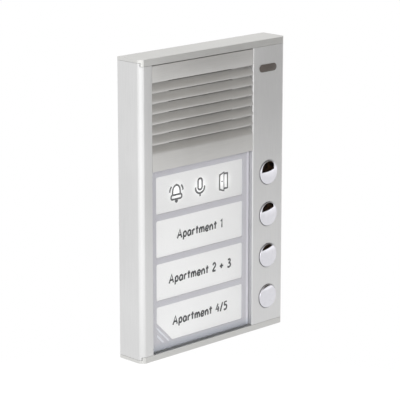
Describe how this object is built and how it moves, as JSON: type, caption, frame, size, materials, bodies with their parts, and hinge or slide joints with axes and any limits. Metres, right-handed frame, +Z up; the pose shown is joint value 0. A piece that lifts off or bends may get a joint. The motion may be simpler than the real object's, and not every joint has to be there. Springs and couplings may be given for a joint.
{
  "type": "door intercom panel",
  "caption": "Slim upright wall-mounted intercom panel: louvred speaker grille above a backlit label window, with a column of round call buttons beside it.",
  "frame": {"origin": "centre of the wall plate's rear face, which lies flat on the wall", "axes": "+Y into the wall, so the front of the panel looks along -Y; +Z up along the panel's height; +X to the right of someone facing the panel"},
  "size_m": [0.125, 0.0216, 0.188],
  "materials": {
    "anodised_aluminium": "satin anodised",
    "steel": "zinc plated",
    "wall_plate_steel": "zinc plated sheet",
    "louvre_silver": "silver-grey satin",
    "splash_mesh": "fine dark weave",
    "clear_acrylic": "clear polished",
    "frame_grey": "lavender grey satin",
    "label_film": "white translucent film",
    "diffuser": "opal white",
    "badge": "dark satin",
    "chrome": "polished",
    "grey_plastic": "moulded",
    "black_plastic": "moulded",
    "circuit_board": "solder mask",
    "led": "clear resin",
    "terminal_green": "moulded",
    "foam": "closed-cell foam",
    "paper_cone": "pressed paper",
    "rubber": "matt"
  },
  "bodies": {
    "housing": {"housing_profile": "anodised_aluminium", "top_cap": "anodised_aluminium", "bottom_cap": "anodised_aluminium", "cap_screw_left": "steel", "cap_screw_right": "steel", "lock_screw": "steel", "louvre_panel": "louvre_silver", "splash_mesh": "splash_mesh", "label_frame": "frame_grey", "symbol_label": "label_film", "name_label_1": "label_film", "name_label_2": "label_film", "name_label_3": "label_film", "diffuser_plate": "diffuser", "blank_badge": "badge", "call_button_spring_1": "steel", "call_button_spring_2": "steel", "call_button_spring_3": "steel", "call_button_spring_4": "steel", "call_switch_1": "black_plastic", "call_switch_2": "black_plastic", "call_switch_3": "black_plastic", "call_switch_4": "black_plastic", "button_guide": "grey_plastic", "main_board": "circuit_board", "board_screw_1": "steel", "board_screw_2": "steel", "board_screw_3": "steel", "board_screw_4": "steel", "symbol_led_1": "led", "symbol_led_2": "led", "symbol_led_3": "led", "name_led_1": "led", "name_led_2": "led", "name_led_3": "led", "terminal_block": "terminal_green", "terminal_screw_1": "steel", "terminal_screw_2": "steel", "terminal_screw_3": "steel", "terminal_screw_4": "steel", "speaker_gasket": "foam", "speaker_basket": "black_plastic", "speaker_cone": "paper_cone", "speaker_magnet": "steel", "speaker_clamp": "grey_plastic", "microphone": "steel", "microphone_boot": "rubber", "wall_plate": "wall_plate_steel", "cable_seal": "rubber"},
    "window_cover": {"window_cover": "clear_acrylic"},
    "call_button_1": {"call_button_cap_1": "chrome", "call_button_plunger_1": "grey_plastic"},
    "call_button_2": {"call_button_cap_2": "chrome", "call_button_plunger_2": "grey_plastic"},
    "call_button_3": {"call_button_cap_3": "chrome", "call_button_plunger_3": "grey_plastic"},
    "call_button_4": {"call_button_cap_4": "chrome", "call_button_plunger_4": "grey_plastic"}
  },
  "joints": [
    {"name": "call_button_1_press", "type": "slide", "parent": "housing", "child": "call_button_1", "axis": [0, 1, 0], "range_m": [0, 0.001], "stiffness_N_per_m": 1000, "springref_m": -0.001, "deforming": ["call_button_spring_1"]},
    {"name": "call_button_2_press", "type": "slide", "parent": "housing", "child": "call_button_2", "axis": [0, 1, 0], "range_m": [0, 0.001], "stiffness_N_per_m": 1000, "springref_m": -0.001, "deforming": ["call_button_spring_2"]},
    {"name": "call_button_3_press", "type": "slide", "parent": "housing", "child": "call_button_3", "axis": [0, 1, 0], "range_m": [0, 0.001], "stiffness_N_per_m": 1000, "springref_m": -0.001, "deforming": ["call_button_spring_3"]},
    {"name": "call_button_4_press", "type": "slide", "parent": "housing", "child": "call_button_4", "axis": [0, 1, 0], "range_m": [0, 0.001], "stiffness_N_per_m": 1000, "springref_m": -0.001, "deforming": ["call_button_spring_4"]},
    {"name": "window_cover_lift", "type": "slide", "parent": "housing", "child": "window_cover", "axis": [0, -1, 0], "range_m": [0, 0.02]}
  ]
}
